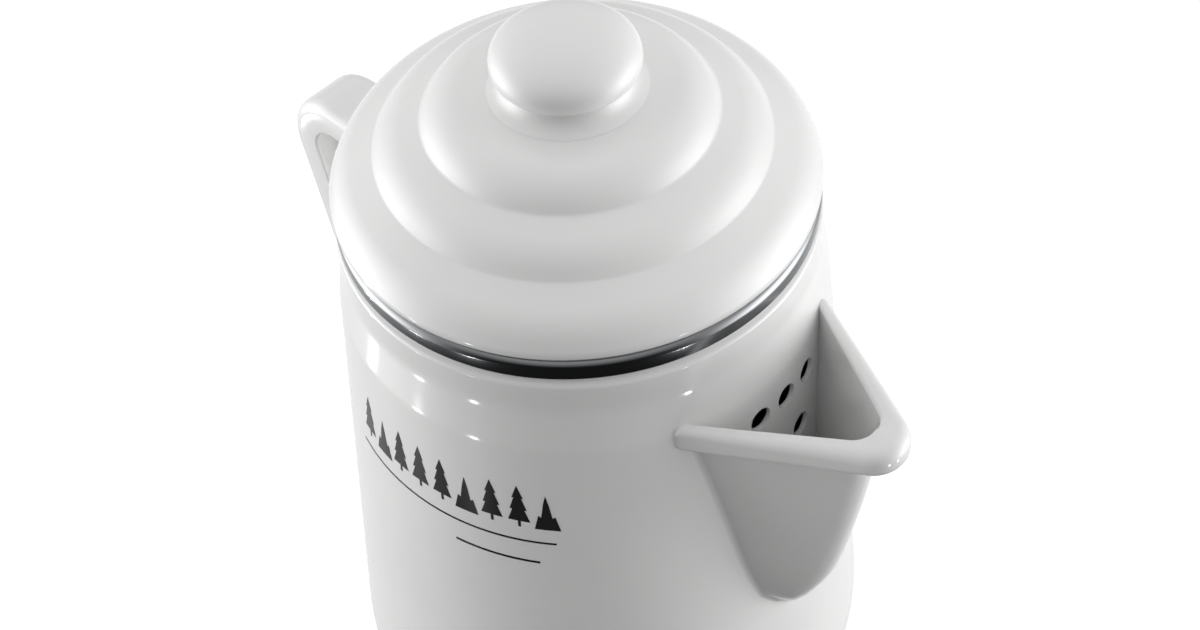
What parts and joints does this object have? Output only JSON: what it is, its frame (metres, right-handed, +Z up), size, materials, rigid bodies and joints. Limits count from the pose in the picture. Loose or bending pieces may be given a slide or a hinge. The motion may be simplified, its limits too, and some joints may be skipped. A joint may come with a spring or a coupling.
{
  "type": "coffee percolator",
  "caption": "Enamelled camping coffee percolator: conical pot, stepped lid with ball knob, folded spout, strap handle and lift-out brewing insert.",
  "frame": {"origin": "centre of the flat underside that stands on the stove", "axes": "+Z up along the pot's axis, +X towards the spout, handle towards -X, +Y to the side"},
  "size_m": [0.2086, 0.1496, 0.2292],
  "materials": {
    "enamel": "glossy vitreous enamel on steel",
    "rim_steel": "polished stainless steel",
    "insert_steel": "satin spun stainless steel"
  },
  "bodies": {
    "pot": {"pot_shell": "enamel", "pot_base": "enamel", "rim_band": "rim_steel", "spout": "enamel", "handle": "enamel"},
    "lid": {"lid_shell": "enamel", "lid_collar": "enamel", "knob_cup": "enamel", "knob_cap": "enamel"},
    "stem": {"stem_tube": "insert_steel", "stem_foot": "insert_steel", "stem_collar": "insert_steel"},
    "basket": {"basket_cup": "insert_steel", "basket_sleeve": "insert_steel"},
    "spreader": {"basket_spreader": "insert_steel"}
  },
  "joints": [
    {"name": "lid_lift", "type": "slide", "parent": "pot", "child": "lid", "axis": [0, 0, 1], "range_m": [0, 0.33]},
    {"name": "stem_lift", "type": "slide", "parent": "pot", "child": "stem", "axis": [0, 0, 1], "range_m": [0, 0.19]},
    {"name": "basket_lift", "type": "slide", "parent": "stem", "child": "basket", "axis": [0, 0, 1], "range_m": [0, 0.095]},
    {"name": "spreader_lift", "type": "slide", "parent": "basket", "child": "spreader", "axis": [0, 0, 1], "range_m": [0, 0.025]}
  ],
  "couplings": [
    {"joint": "stem_lift", "follows": "lid_lift", "ratio": 0.5757},
    {"joint": "basket_lift", "follows": "lid_lift", "ratio": 0.2878},
    {"joint": "spreader_lift", "follows": "lid_lift", "ratio": 0.0757}
  ]
}
